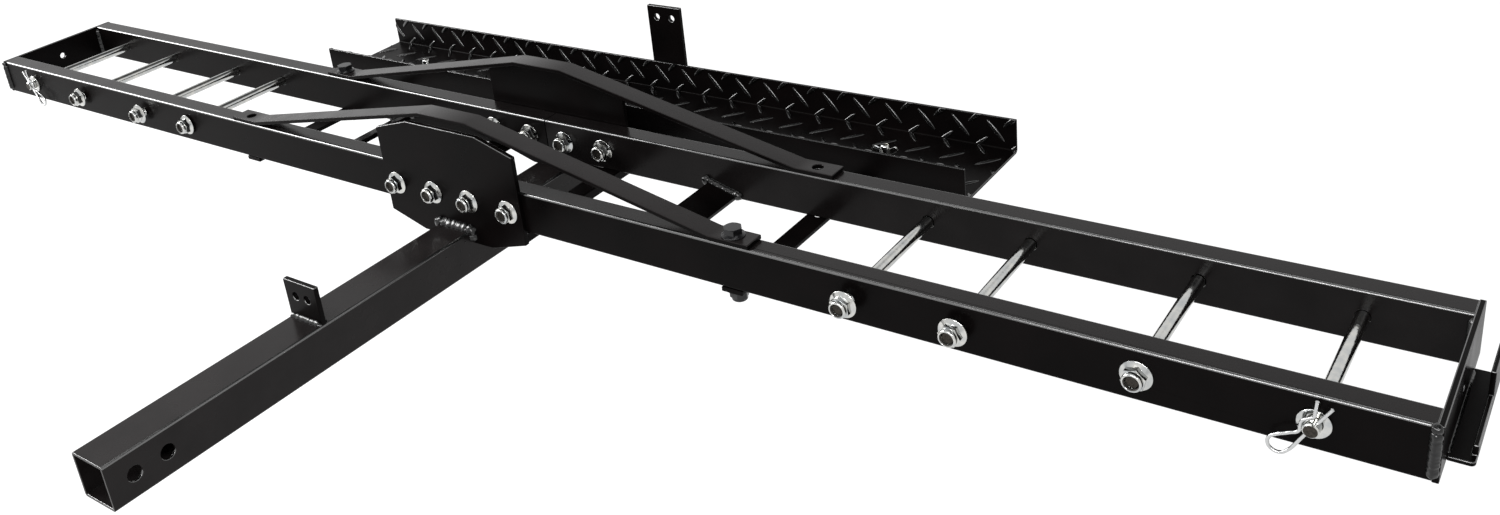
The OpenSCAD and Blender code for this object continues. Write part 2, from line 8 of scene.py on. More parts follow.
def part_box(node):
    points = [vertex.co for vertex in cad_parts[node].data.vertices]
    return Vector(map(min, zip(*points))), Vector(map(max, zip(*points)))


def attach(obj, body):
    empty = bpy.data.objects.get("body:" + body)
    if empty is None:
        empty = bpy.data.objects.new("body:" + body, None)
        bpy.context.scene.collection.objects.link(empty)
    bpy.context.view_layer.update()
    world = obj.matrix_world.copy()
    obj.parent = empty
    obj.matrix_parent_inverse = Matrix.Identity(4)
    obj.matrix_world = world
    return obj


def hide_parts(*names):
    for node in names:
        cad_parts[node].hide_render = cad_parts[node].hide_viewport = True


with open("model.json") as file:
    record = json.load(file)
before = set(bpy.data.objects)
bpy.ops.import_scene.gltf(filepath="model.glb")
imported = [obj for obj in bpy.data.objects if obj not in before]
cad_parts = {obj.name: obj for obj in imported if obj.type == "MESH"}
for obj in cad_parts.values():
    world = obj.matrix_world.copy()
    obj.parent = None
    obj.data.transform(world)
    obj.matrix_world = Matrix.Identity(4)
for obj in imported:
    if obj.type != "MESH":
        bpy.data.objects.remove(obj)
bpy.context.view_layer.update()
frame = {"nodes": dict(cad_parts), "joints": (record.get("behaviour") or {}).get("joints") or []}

# Lengths are in metres, so a length in millimetres is written as a number times MM
MM = 0.001
X, Y, Z = Vector((1, 0, 0)), Vector((0, 1, 0)), Vector((0, 0, 1))
# Points of a mesh that lie closer than this are merged
MERGE = 0.005 * MM
# Faces that meet at less than COPLANAR are one, edges over SHARP are rounded off, and shading is
# smooth over edges up to SMOOTH, or on welds up to SMOOTH_WELD
COPLANAR = radians(0.5)
SHARP = radians(30)
SMOOTH = radians(35)
SMOOTH_WELD = radians(80)


# Frame: where the pieces are

def solids(node):
    """Lowest and highest corner of each separate solid in a CAD node, from left to right."""
    mesh = frame["nodes"][node].data
    leader = {}

    def find(key):
        while leader[key] != key:
            key = leader[key]
        return key

    keys = [tuple(round(c / MM, 2) for c in v.co) for v in mesh.vertices]
    for key in keys:
        leader[key] = key
    for face in mesh.polygons:
        first, *rest = (find(keys[i]) for i in face.vertices)
        for other in rest:
            leader[find(other)] = find(first)
    groups = {}
    for key in leader:
        groups.setdefault(find(key), []).append(key)
    boxes = []
    for points in groups.values():
        axes = list(zip(*points))
        low, high = ([limit(axis) * MM for axis in axes] for limit in (min, max))
        boxes.append((Vector(low), Vector(high)))
    return sorted(boxes, key=lambda box: tuple(round(c, 4) for c in box[0]))


def corners(node):
    """Lowest and highest corner of a CAD node, as vectors."""
    low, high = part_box(node)
    return Vector(low), Vector(high)


def middle(box):
    return (box[0] + box[1]) / 2


def length_along(box, axis):
    return box[1].dot(axis) - box[0].dot(axis)


def end_at(box, direction):
    """Middle of the face of a box that looks in a direction along one axis."""
    size = box[1] - box[0]
    return middle(box) + Vector([d * s / 2 for d, s in zip(direction, size)])


def joint_axis(name):
    joint = next(joint for joint in frame["joints"] if joint["name"] == name)
    return Vector(joint["axis"]).normalized()


# Node materials

def linear(colour):
    """Linear colour with full alpha from an sRGB hex value."""
    parts = [int(colour[i:i + 2], 16) / 255 for i in (1, 3, 5)]
    return [c / 12.92 if c <= 0.04045 else ((c + 0.055) / 1.055) ** 2.4 for c in parts] + [1.0]


def add(tree, kind, links=(), **settings):
    """Adds a shader node. A setting that names an input socket sets it, and any other sets a
    property. links are (input socket, source socket) pairs."""
    node = tree.nodes.new(kind)
    for name, value in settings.items():
        socket = name.replace("_", " ")
        if socket in node.inputs:
            node.inputs[socket].default_value = value
        else:
            setattr(node, name, value)
    for socket, source in links:
        tree.links.new(source, node.inputs[socket])
    return node


def new_material(name):
    """Empty node material with its output and Object coordinates."""
    material = bpy.data.materials.new(name)
    material.use_nodes = True
    tree = material.node_tree
    tree.nodes.clear()
    output = add(tree, "ShaderNodeOutputMaterial")
    place = add(tree, "ShaderNodeTexCoord").outputs["Object"]
    return material, tree, output, place


def noise(tree, place, size, detail=2.0):
    """Noise whose blotches are about size metres across."""
    texture = add(tree, "ShaderNodeTexNoise", [("Vector", place)], Scale=1 / size, Detail=detail)
    return texture.outputs["Fac"]


def map_range(tree, value, old, new):
    """Maps a value from the old range, a pair of limits, to the new one."""
    node = add(tree, "ShaderNodeMapRange", [("Value", value)])
    for name, limits in (("From", old), ("To", new)):
        for end, limit in zip((" Min", " Max"), limits):
            node.inputs[name + end].default_value = limit
    return node.outputs["Result"]


# Range in which nearly all of a noise lies
NOISE_RANGE = (0.3, 0.7)


def blend_colour(tree, factor, first, second):
    """Mix of two sRGB hex colours."""
    node = add(tree, "ShaderNodeMix", data_type="RGBA")
    tree.links.new(factor, node.inputs["Factor"])
    # A mix node has an A and a B for each data type, of which the colours are inputs 6 and 7
    for socket, colour in ((6, first), (7, second)):
        node.inputs[socket].default_value = linear(colour)
    return node.outputs[2]


def surface_finish(name, pattern, colours, roughness, depth=0, grain=None, **settings):
    """Material with one pattern, a size in metres and a detail, in its roughness and, where it has
    two colours, in its colour. A bump of the given depth follows it too, or follows noise of size
    grain."""
    material, tree, output, place = new_material(name)
    patches = noise(tree, place, *pattern)
    links = [("Roughness", map_range(tree, patches, NOISE_RANGE, roughness))]
    if len(colours) == 2:
        factor = map_range(tree, patches, NOISE_RANGE, (0, 1))
        links.append(("Base Color", blend_colour(tree, factor, *colours)))
    else:
        settings["Base_Color"] = linear(colours[0])
    if depth:
        height = noise(tree, place, grain) if grain else patches
        bump = add(tree, "ShaderNodeBump", [("Height", height)], Distance=depth)
        links.append(("Normal", bump.outputs["Normal"]))
    shader = add(tree, "ShaderNodeBsdfPrincipled", links, **settings)
    tree.links.new(shader.outputs["BSDF"], output.inputs["Surface"])
    return material


# Real orange peel on powder coat is 1 to 2 mm wide, drawn at 2.5 mm so that it shows
PEEL = 2.5 * MM
PEEL_DEPTH = 0.03 * MM


def sheen_painted_coat(name, colours, ior):
    """Powder coat painted a lighter grey, as painted sheen that stands in for the pale reflection on
    the faces it covers.
    """
    return surface_finish(name, (45 * MM, 6.0), colours, (0.2, 0.3), PEEL_DEPTH, PEEL, IOR=ior)


# Baked black polyester powder: a semi-gloss skin with fine orange peel and faint handling marks
COAT = surface_finish(
    "semi_gloss_black_powder_coat", (60 * MM, 5.0), ("#060505", "#0b0808"), (0.26, 0.36),
    PEEL_DEPTH, PEEL, IOR=1.12,
)
# The same coat painted lighter by more or less: painted sheen for the pale reflection on the rail
# tops, the far right rail, the tube and the braces
RAIL_TOP_PAINTED_SHEEN = sheen_painted_coat("coat_with_painted_sheen_on_rail_tops", ("#120f0f", "#1a1717"), 1.25)
FAR_RAIL_FAINT_PAINTED_SHEEN = sheen_painted_coat("coat_with_faint_painted_sheen_on_far_rail", ("#0e0c0c", "#151313"), 1.17)
TUBE_AND_BRACE_PAINTED_SHEEN = sheen_painted_coat("coat_with_painted_sheen_on_tube_and_braces", ("#181515", "#221f1f"), 1.25)
# Powder coat rubbed to a shine along the upper edges of tubes and plates
EDGE = surface_finish(
    "rubbed_powder_coat_on_edges", (25 * MM, 4.0), ["#0c0c0c"], (0.16, 0.28), IOR=2.3,
)
# Powder coat over a weld bead: the same black, pulled thin and glossy over the ripples
WELD = surface_finish(
    "glossy_powder_coat_over_weld", (4 * MM, 2.0), ["#0a0a0a"], (0.1, 0.24), 0.1 * MM, IOR=1.45,
)
# Powder coat on the raised tread, rubbed shiny on the crowns
TREAD = surface_finish(
    "rubbed_powder_coat_on_tread", (12 * MM, 3.0), ("#080808", "#0e0e0e"), (0.08, 0.18), IOR=1.75,
)
# Bright zinc plate on steel hardware: silvery with a straw tint, cloudy patches and small dents
ZINC = surface_finish(
    "bright_zinc_plate", (9 * MM, 3.0), ("#b0b3b4", "#d0cfca"), (0.08, 0.18), 0.12 * MM, 4 * MM,
    Metallic=1.0,
)
# Bright-plated drawn wire: smooth, with fine flaws
WIRE = surface_finish(
    "bright_plated_spring_wire", (1.2 * MM, 3.0), ["#c4c5c5"], (0.1, 0.22), 0.015 * MM,
    Metallic=1.0,
)
# Blackened steel: dark and oily, with a soft metal sheen
BLACK = surface_finish(
    "black_oxide_steel", (6 * MM, 3.0), ("#121213", "#1e1e20"), (0.14, 0.28), 0.03 * MM,
    Metallic=0.3,
)
# Smoky nylon of the lock nuts' rings: dark and slightly waxy
NYLON = surface_finish("smoky_nylon", (4 * MM, 2.0), ("#2c2926", "#3b3733"), (0.38, 0.5))
# Ends of rods and bolts that were cut after plating: dull grey steel with a brown cast, painted far
# darker than bare steel as painted shade for ends that sit deep in the nuts' collars
CUT_END_WITH_PAINTED_SHADE = surface_finish(
    "cut_steel_end_darkened_as_painted_shade", (1.5 * MM, 3.0), ("#2b2927", "#48443f"), (0.4, 0.6), 0.05 * MM,
    Metallic=1.0,
)


# Modelling tools

def deselect():
    if bpy.context.object and bpy.context.object.mode != "OBJECT":
        bpy.ops.object.mode_set(mode="OBJECT")
    bpy.ops.object.select_all(action="DESELECT")


def pick(*pieces):
    """Selects only these pieces, the first of them active."""
    deselect()
    for piece in pieces:
        piece.select_set(True)
    bpy.context.view_layer.objects.active = pieces[0]


def edit(piece):
    """Opens a piece in edit mode with all of it selected."""
    pick(piece)
    bpy.ops.object.mode_set(mode="EDIT")
    bpy.ops.mesh.select_all(action="SELECT")


def leave():
    bpy.ops.object.mode_set(mode="OBJECT")


def apply_modifier(piece, kind, **settings):
    pick(piece)
    modifier = piece.modifiers.new("shape", kind)
    for name, value in settings.items():
        setattr(modifier, name, value)
    bpy.ops.object.modifier_apply(modifier=modifier.name)


def settle(piece):
    """Moves a piece's place into its mesh, so that its object sits at the origin."""
    pick(piece)
    bpy.ops.object.transform_apply(location=True, rotation=True, scale=True)


def combine(piece, tool, operation):
    """Cuts a piece with a tool, or joins or trims it, and uses the tool up."""
    apply_modifier(piece, "BOOLEAN", operation=operation, object=tool, solver="EXACT")
    bpy.data.objects.remove(tool)


def soften_edges(piece, width):
    """Rounds off a piece's sharp edges, with its second material on the faces that this makes."""
    apply_modifier(
        piece, "BEVEL", width=width, segments=2, limit_method="ANGLE", angle_limit=SHARP,
        use_clamp_overlap=False, material=1,
    )


# Rise of a face's normal: at least LEVEL on a tube's flat top, more than the middle value where the
# painted sheen lies (a lighter colour that stands in for the reflection on faces that look up), and
# more than RUBBED on the rubbed edges
LEVEL = 0.98
PAINTED_SHEEN_RISE = 0.75
RUBBED = 0.15


def paint_faces(piece, painted_sheen, tube):
    """Keeps the shine on the upper edges only, and puts painted sheen, a lighter colour that stands
    in for the reflection, on the large faces that look up.
    """
    piece.data.materials.append(painted_sheen)
    for face in piece.data.polygons:
        rise = face.normal.z
        if face.material_index == 1 or tube and rise < LEVEL:
            face.material_index = 1 if rise > RUBBED else 0
        # Faces that look up take the lighter coat: painted sheen for the reflection of the bright
        # surroundings
        elif rise > PAINTED_SHEEN_RISE:
            face.material_index = 2


def turned(name, profile, sides=48, ring=False):
    """Turns a profile of (radius, height) points about Z, a circle extruded from point to point."""
    deselect()
    radius, height = profile[0]
    bpy.ops.mesh.primitive_circle_add(
        vertices=sides, radius=radius, location=(0, 0, height),
        fill_type="NOTHING" if ring else "NGON",
    )
    piece = bpy.context.object
    piece.name = name
    edit(piece)
    for (r0, z0), (r1, z1) in zip(profile, profile[1:]):
        bpy.ops.mesh.extrude_region_move(TRANSFORM_OT_translate={"value": (0, 0, z1 - z0)})
        bpy.ops.transform.resize(value=(r1 / r0, r1 / r0, 1), center_override=(0, 0, z1))
    bpy.ops.mesh.select_all(action="SELECT")
    bpy.ops.mesh.remove_doubles(threshold=MERGE)
    bpy.ops.mesh.normals_make_consistent(inside=False)
    leave()
    settle(piece)
    return piece


def hexagon(name, flats, height, chamfer):
    """Hex nut body or bolt head from the origin up Z, with its upper corners turned off."""
    deselect()
    reach = flats / 2 / cos(pi / 6)
    bpy.ops.mesh.primitive_cylinder_add(
        vertices=6, radius=reach, depth=height, location=(0, 0, height / 2),
    )
    piece = bpy.context.object
    piece.name = name
    settle(piece)
    clear = reach + 0.2 * MM
    drum = turned("drum", [
        (clear, 0), (clear, 0.01 * MM), (clear, height - chamfer / 2),
        (flats / 2 - 0.4 * MM, height),
    ], sides=72)
    combine(piece, drum, "INTERSECT")
    return piece


def thread(radius, start, end, pitch):
    """Profile of a threaded stretch, its turns drawn as rings."""
    # Drawn at half of the real depth, so that the rings stay solid
    depth = 0.3 * pitch
    count = max(1, int(abs(end - start) / pitch))
    step = (end - start) / count
    points = []
    for i in range(count):
        points += [(radius - depth, start + i * step), (radius, start + (i + 0.5) * step)]
    return points + [(radius - depth, end)]


def join(pieces, name):
    """Joins pieces to the first of them."""
    pick(*pieces)
    if len(pieces) > 1:
        bpy.ops.object.join()
    pieces[0].name = name
    return pieces[0]


def copy_of(source, name):
    """Object with its own copy of another one's mesh."""
    piece = bpy.data.objects.new(name, source.data.copy())
    bpy.context.scene.collection.objects.link(piece)
    return piece


def placed(master, name, frames):
    """Copies of a master piece at each frame, joined to one piece. The master is used up."""
    copies = [copy_of(master, name) for _ in frames]
    for piece, matrix in zip(copies, frames):
        piece.matrix_world = matrix
    bpy.data.objects.remove(master)
    bpy.context.view_layer.update()
    piece = join(copies, name)
    settle(piece)
    return piece


def move(piece, matrix):
    """Moves a piece that was modelled at the origin, with its mesh."""
    piece.matrix_world = matrix
    settle(piece)


def upended(piece):
    """Turns a piece that stands up Z to hang down from the origin."""
    piece.rotation_euler = (pi, 0, 0)
    settle(piece)
    return piece


def trim(piece, *spans):
    """Cuts off what stands out of a span along X, Y and Z, and closes the cuts."""
    edit(piece)
    for axis, span in zip((X, Y, Z), spans):
        for limit, way in zip(span, (-1, 1)):
            bpy.ops.mesh.select_all(action="SELECT")
            bpy.ops.mesh.bisect(
                plane_co=axis * limit, plane_no=axis * way, use_fill=True, clear_outer=True,
                clear_inner=False,
            )
    leave()


def facing(point, direction, turn=0.0):
    """Frame at a point whose Z axis has that direction, turned about it."""
    spin = Matrix.Rotation(turn, 4, "Z")
    return Matrix.Translation(point) @ direction.to_track_quat("Z", "Y").to_matrix().to_4x4() @ spin


def finish_piece(piece, body, material, slot, *nodes, angle=SMOOTH):
    """Shades a finished piece, gives it its material and body, and hides the CAD nodes that it
    stands for. Without a material the piece keeps those that it has."""
    pick(piece)
    bpy.ops.object.shade_smooth_by_angle(angle=angle)
    # Large flat faces keep their own normal beside narrow rounded edges
    apply_modifier(piece, "WEIGHTED_NORMAL", keep_sharp=True)
    if material:
        piece.data.materials.clear()
        piece.data.materials.append(material)
    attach(piece, body)
    if nodes:
        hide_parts(*nodes)


# Coated steel: plates, bars and tubes

# A tube's corners are round as rolled, and a plate has only what the powder rounds off
TUBE_EDGE = 0.5 * MM
PLATE_EDGE = 0.8 * MM


def coated(node, body="carrier", tube=False, skin=COAT, painted_sheen=COAT, edges=EDGE):
    """Coated copy of a CAD node, with its skin, its upper faces' painted sheen and its edges'
    finish.
    """
    piece = copy_of(frame["nodes"][node], node + "_coated")
    # A face needs a second material to take its place before the edges are rounded
    piece.data.materials.clear()
    for material in (skin, edges):
        piece.data.materials.append(material)
    edit(piece)
    bpy.ops.mesh.remove_doubles(threshold=MERGE)
    bpy.ops.mesh.dissolve_limited(angle_limit=COPLANAR)
    leave()
    soften_edges(piece, TUBE_EDGE if tube else PLATE_EDGE)
    paint_faces(piece, painted_sheen, tube)
    finish_piece(piece, body, None, "powder_coat", node)


# The tube is painted a lighter coat all over, and the far right rail a faintly lighter one: painted
# sheen for their reflections
coated("hitch_tube", tube=True, skin=TUBE_AND_BRACE_PAINTED_SHEEN, painted_sheen=TUBE_AND_BRACE_PAINTED_SHEEN)
for rail in ("rail_near_left", "rail_far_left", "rail_near_right", "rail_far_right"):
    coated(rail, tube=True, skin=FAR_RAIL_FAINT_PAINTED_SHEEN if rail == "rail_far_right" else COAT, painted_sheen=RAIL_TOP_PAINTED_SHEEN)
# The braces' upper faces and edges take the lighter coat as painted sheen
for brace in ("brace_strap_near", "brace_strap_far"):
    coated(brace, painted_sheen=TUBE_AND_BRACE_PAINTED_SHEEN, edges=TUBE_AND_BRACE_PAINTED_SHEEN)
for bar in ("cross_member_left", "cross_member_right", "ramp_arm_left", "ramp_arm_right"):
    coated(bar, edges=COAT)
for plate in (
    "strap_lug_near", "strap_lug_far", "bracket_plate_near", "bracket_plate_far",
    "saddle_bar_left", "saddle_bar_right", "end_plate_left", "end_plate_right", "ramp_hook",
):
    coated(plate)
coated("ramp", body="ramp", edges=TREAD)


# Raised tread on the ramp's inside faces

TREAD_PITCH = 44 * MM
TREAD_LENGTH = 33 * MM
TREAD_WIDTH = 6 * MM
TREAD_RISE = 1.7 * MM
# How far a bar reaches into the sheet
TREAD_ROOT = 0.2 * MM
# Leans are in degrees, and seen from inside, a bar with a positive lean rises to the right
FLOOR_LEAN = 50
FLOOR_ROW_STEP = 30 * MM
OUTER_WALL_LEAN, MIDDLE_WALL_LEAN = 42, -50
# Where the pattern starts on the walls, in pitches
PHASE = 0.65
SHEET = 3 * MM
BEND = 5 * MM
# What the bars leave free at the sheet's ends and at the walls' tops
END_GAP = 1 * MM
TOP_GAP = 0.2 * MM


def tread_bar():
    """One lens-shaped bar along X that stands up Z, thin at its ends."""
    deselect()
    bpy.ops.mesh.primitive_uv_sphere_add(segments=20, ring_count=10, radius=1)
    bar = bpy.context.object
    bpy.ops.transform.resize(value=(TREAD_LENGTH / 2, TREAD_WIDTH / 2, TREAD_RISE))
    settle(bar)
    edit(bar)
    bpy.ops.mesh.bisect(
        plane_co=(0, 0, -TREAD_ROOT), plane_no=(0, 0, 1), use_fill=True, clear_inner=True,
        clear_outer=False,
    )
    leave()
    return bar


def tread_frames(origin, along, across, length, rows):
    """Frames of bars on a face. Each row is a height across it, its bars' lean and its shift in
    pitches."""
    turn = Matrix((along, across, along.cross(across))).transposed().to_4x4()
    frames = []
    for height, lean, shift in rows:
        for i in range(-1, int(length / TREAD_PITCH) + 1):
            point = origin + along * ((i + shift) * TREAD_PITCH) + across * height
            frames.append(Matrix.Translation(point) @ turn @ Matrix.Rotation(radians(lean), 4, "Z"))
    return frames


def ramp_tread():
    """Rows of bars that lean by turns, on the floor and both walls, cut off at the sheet's edges."""
    low, high = corners("ramp")
    floor = low.z + SHEET
    half_width = (high.y - low.y - 2 * SHEET) / 2
    floor_rows = []
    for i in (-2, -1, 0, 1, 2):
        lean, shift = (FLOOR_LEAN, 0.3) if i % 2 else (-FLOOR_LEAN, 0.8)
        floor_rows.append((half_width + i * FLOOR_ROW_STEP, lean, shift))
    wall = high.z - floor
    wall_rows = [
        (1 * MM, OUTER_WALL_LEAN, PHASE), (wall * 0.54, MIDDLE_WALL_LEAN, PHASE + 0.5),
        (wall - 1 * MM, OUTER_WALL_LEAN, PHASE),
    ]
    floor_spans = ((low.y + BEND, high.y - BEND), (low.z, high.z))
    wall_spans = ((low.y, high.y), (low.z + BEND, high.z - TOP_GAP))
    bar = tread_bar()
    pieces = []
    for name, origin, along, across, rows, spans in (
        ("floor", (low.x, low.y + SHEET, floor), X, Y, floor_rows, floor_spans),
        ("far", (low.x, high.y - SHEET, floor), X, Z, wall_rows, wall_spans),
        ("near", (high.x, low.y + SHEET, floor), -X, Z, wall_rows, wall_spans),
    ):
        frames = tread_frames(Vector(origin), along, across, high.x - low.x, rows)
        bars = placed(copy_of(bar, name), "tread_" + name, frames)
        trim(bars, (low.x + END_GAP, high.x - END_GAP), *spans)
        pieces.append(bars)
    bpy.data.objects.remove(bar)
    finish_piece(join(pieces, "ramp_tread"), "ramp", TREAD, "powder_coat")


ramp_tread()


# Fasteners

# Shank radius, width across flats, flange diameter, head height, thread pitch, metal and its slot
Hardware = namedtuple("Hardware", "radius flats flange head pitch metal slot")
HALF_INCH = Hardware(12.7 / 2 * MM, 19 * MM, 28 * MM, 9 * MM, 2 * MM, ZINC, "zinc")
STRAP = Hardware(6 * MM, 18 * MM, 25 * MM, 9.5 * MM, 1.75 * MM, BLACK, "black_oxide")
STUD = Hardware(4 * MM, 13 * MM, None, 5.5 * MM, 1.25 * MM, ZINC, "zinc")
# Threaded lengths
BRACKET_THREAD = 34 * MM
ROD_THREAD = 40 * MM
STRAP_THREAD = 30 * MM
STUD_THREAD = 20 * MM
# Chamfers of a shank's end and of a hexagon over a flange
TIP_CHAMFER = 1 * MM
HEX_CHAMFER = 1.6 * MM
# Gap between a shank and what is threaded on it
PLAY = 0.05 * MM
# Rolled collar of a lock nut
COLLAR = 4.2 * MM


def turns(count, step):
    """Angles at which nuts or heads happened to stop, one per fastener."""
    return [(i * step) % (pi / 3) for i in range(count)]


def flange_profile(kind):
    """Underside, rim and cone of a flange, from its edge in to the hexagon."""
    edge = kind.flange / 2
    inner = kind.flats / 2
    return [
        (edge - 0.5 * MM, 0), (edge, 0.4 * MM), (edge, 1.1 * MM), (edge - 0.3 * MM, 1.4 * MM),
        (edge - 1.1 * MM, 1.6 * MM), (inner + 0.4 * MM, 3.1 * MM), (inner - 0.3 * MM, 3.6 * MM),
    ]


def lock_nut(kind, height):
    """Flange lock nut with a rounded collar that is rolled in over its nylon ring."""
    bore = kind.radius + PLAY
    outer = kind.flats / 2 - 0.5 * MM
    lip = bore + 0.75 * MM
    nut = hexagon("nut", kind.flats, height - COLLAR, HEX_CHAMFER)
    shell = turned("shell", [
        (bore, 0.7 * MM), (bore + 0.7 * MM, 0), *flange_profile(kind),
        (outer, height - COLLAR - 0.6 * MM), (outer, height - 1.7 * MM),
        (outer - 0.35 * MM, height - 0.8 * MM), (outer - 1.1 * MM, height - 0.2 * MM),
        (outer - 2 * MM, height), (lip + 0.5 * MM, height - 0.1 * MM), (lip, height - 0.5 * MM),
        (lip, height - 0.8 * MM), (bore + PLAY, height - 3.2 * MM), (bore, height - 3.3 * MM),
        (bore, 0.7 * MM),
    ], ring=True)
    combine(nut, turned("bore", [(bore, -1 * MM), (bore, height + 1 * MM)]), "DIFFERENCE")
    combine(nut, shell, "UNION")
    return nut


def shank(name, kind, length, threaded):
    """Bolt shank from the origin up Z, threaded over its last stretch, with a dull cut end that is
    also darkened as painted shade.
    """
    tip = length - TIP_CHAMFER
    plain = length - threaded
    piece = turned(name, [
        (kind.radius, 0), (kind.radius, plain),
        *thread(kind.radius, plain + 0.2 * MM, tip, kind.pitch),
        (kind.radius - TIP_CHAMFER, length),
    ], sides=40)
    for material in (kind.metal, CUT_END_WITH_PAINTED_SHADE):
        piece.data.materials.append(material)
    # The end face takes the darkened cut steel: painted shade, as inside a nut's collar
    for face in piece.data.polygons:
        if face.normal.z > 0.99 and face.center.z > tip:
            face.material_index = 1
    return piece


def flange_bolt(name, kind, length, threaded):
    """Bolt whose shank runs from the origin up Z and whose flanged head stands below it."""
    bolt = shank(name, kind, length, threaded)
    top = hexagon("head", kind.flats, kind.head, HEX_CHAMFER)
    combine(top, turned("flange", flange_profile(kind)), "UNION")
    combine(bolt, upended(top), "UNION")
    return bolt


def washer(name, outer, inner, height):
    edge = 0.35 * MM
    return turned(name, [
        (outer - edge, 0), (outer, edge), (outer, height - edge), (outer - edge, height),
        (inner + edge, height), (inner, height - edge), (inner, edge), (inner + edge, 0),
        (outer - edge, 0),
    ], sides=64, ring=True)


def bolt_frames(boxes, kind, axis, step):
    """Frames of bolts whose heads are at the far end of their boxes along an axis."""
    return [
        facing(end_at(box, axis) - axis * kind.head, -axis, angle)
        for box, angle in zip(boxes, turns(len(boxes), step))
    ]


def bolt_set(use, kind, axis, threaded, step):
    """Bolts of one use, all of one length."""
    boxes = solids(use + "_bolts")
    master = flange_bolt("bolt", kind, length_along(boxes[0], axis) - kind.head, threaded)
    bolts = placed(master, use + "_bolt_set", bolt_frames(boxes, kind, axis, step))
    finish_piece(bolts, "carrier", None, kind.slot, use + "_bolts")


def rod_set():
    """Cross rods, each as long as what it clamps."""
    boxes = solids("cross_rods")
    rods = []
    for box, matrix in zip(boxes, bolt_frames(boxes, HALF_INCH, Y, 0.29)):
        rod = flange_bolt("rod", HALF_INCH, length_along(box, Y) - HALF_INCH.head, ROD_THREAD)
        move(rod, matrix)
        rods.append(rod)
    finish_piece(join(rods, "cross_rod_set"), "carrier", None, "zinc", "cross_rods")


def lock_nuts(use, kind, axis, step):
    """Lock nuts along an axis on the fasteners of one use, and their nylon rings."""
    boxes = solids(use + "_nuts")
    angles = turns(len(boxes), step)
    frames = [facing(end_at(box, axis), -axis, angle) for box, angle in zip(boxes, angles)]
    nuts = placed(lock_nut(kind, length_along(boxes[0], axis)), use + "_lock_nuts", frames)
    finish_piece(nuts, "carrier", kind.metal, kind.slot, use + "_nuts")

    boxes = solids(use + "_nut_rings")
    size = boxes[0][1] - boxes[0][0]
    ring = washer("ring", size.x / 2 - 0.1 * MM, kind.radius + PLAY, size.dot(axis))
    rings = placed(ring, use + "_nut_nylon", [facing(end_at(box, axis), -axis) for box in boxes])
    finish_piece(rings, "carrier", NYLON, "nylon", use + "_nut_rings")


lock_nuts("bracket", HALF_INCH, Y, 0.53)
bolt_set("bracket", HALF_INCH, Y, BRACKET_THREAD, 0.41)
lock_nuts("rod", HALF_INCH, Y, 0.37)
rod_set()
bolt_set("strap", STRAP, Z, STRAP_THREAD, 0.4)
lock_nuts("strap", STRAP, Z, 0.7)


# Ramp studs and wing nuts

WING_SPAN = 32 * MM
WING_HEIGHT = 12 * MM
WING_THICK = 3 * MM
WING_HUB = 6.5 * MM
WING_BORE = STUD.radius + 0.08 * MM
WING_VOXEL = 0.4 * MM
# Where each disc of an ear lies between its root and its tip, and its radius in ear radii
EAR_DISCS = ((0, 0.85), (0.35, 0.85), (0.7, 0.95), (1, 1))
# Angle at which each nut stopped
WING_TURN = {"left": radians(-32), "right": radians(12)}


def ramp_studs():
    boxes = solids("ramp_studs")
    stud = shank("stud", STUD, length_along(boxes[0], Z) - STUD.head, STUD_THREAD)
    combine(stud, upended(hexagon("head", STUD.flats, STUD.head, 1 * MM)), "UNION")
    frames = [facing(end_at(box, -Z) + Z * STUD.head, Z) for box in boxes]
    finish_piece(placed(stud, "ramp_stud_set", frames), "carrier", None, "zinc", "ramp_studs")


def wing_nut(side):
    """Cast wing nut: a tall domed hub with two round ears that lean out from it."""
    node = "wing_nut_" + side
    low, high = corners(node)
    top = high.z - low.z
    ear = WING_HEIGHT / 3
    shapes = [turned(node + "_cast", [
        (WING_HUB - 0.5 * MM, 0.2 * MM), (WING_HUB - 0.2 * MM, 0.8 * MM),
        (WING_HUB - 0.6 * MM, top * 0.7), (WING_HUB - 1.2 * MM, top * 0.88),
        (WING_HUB - 2 * MM, top - 0.3 * MM),
    ])]
    tip = Vector((WING_SPAN / 2 - ear - 0.3 * MM, 0, WING_HEIGHT - ear - 0.3 * MM))
    root = Vector((WING_HUB * 0.6, 0, 4.2 * MM))
    # Each ear is a row of discs from the hub out to its round tip, which the remesh casts into one
    for way in (-1, 1):
        for part, size in EAR_DISCS:
            centre = root.lerp(tip, part)
            deselect()
            bpy.ops.mesh.primitive_cylinder_add(
                vertices=40, radius=ear * size, depth=WING_THICK,
                location=(way * centre.x, 0, centre.z), rotation=(pi / 2, 0, 0),
            )
            shapes.append(bpy.context.object)
    piece = join(shapes, node + "_cast")
    settle(piece)
    apply_modifier(piece, "REMESH", mode="VOXEL", voxel_size=WING_VOXEL)
    apply_modifier(piece, "SMOOTH", factor=0.5, iterations=4)
    cutter = turned("bore", [(WING_BORE, -2 * MM), (WING_BORE, top + 2 * MM)])
    combine(piece, cutter, "DIFFERENCE")
    centre = middle((low, high))
    move(piece, facing(Vector((centre.x, centre.y, low.z)), Z, WING_TURN[side]))
    finish_piece(piece, node, ZINC, "zinc", node)


ramp_studs()
wing_nut("left")
wing_nut("right")


# Quick pins and their wire clips

PIN_HEAD = 5 * MM
WIRE_RADIUS = 1.5 * MM
# Places along the leg and above it, in millimetres, as the wire is bent
WIRE_PATH = (
    (25, 0), (10, 0), (-12, 0), (-31, 0), (-36.6, 2.3), (-38.9, 7.9), (-36.6, 13.5), (-31, 15.8),
    (-26, 14.3), (-16, 8.4), (-9.2, 4.9), (-5.2, 6.6), (0, 8.5), (5.2, 6.6), (9.2, 4.9), (14, 6.9),
    (22.5, 11.2),
)


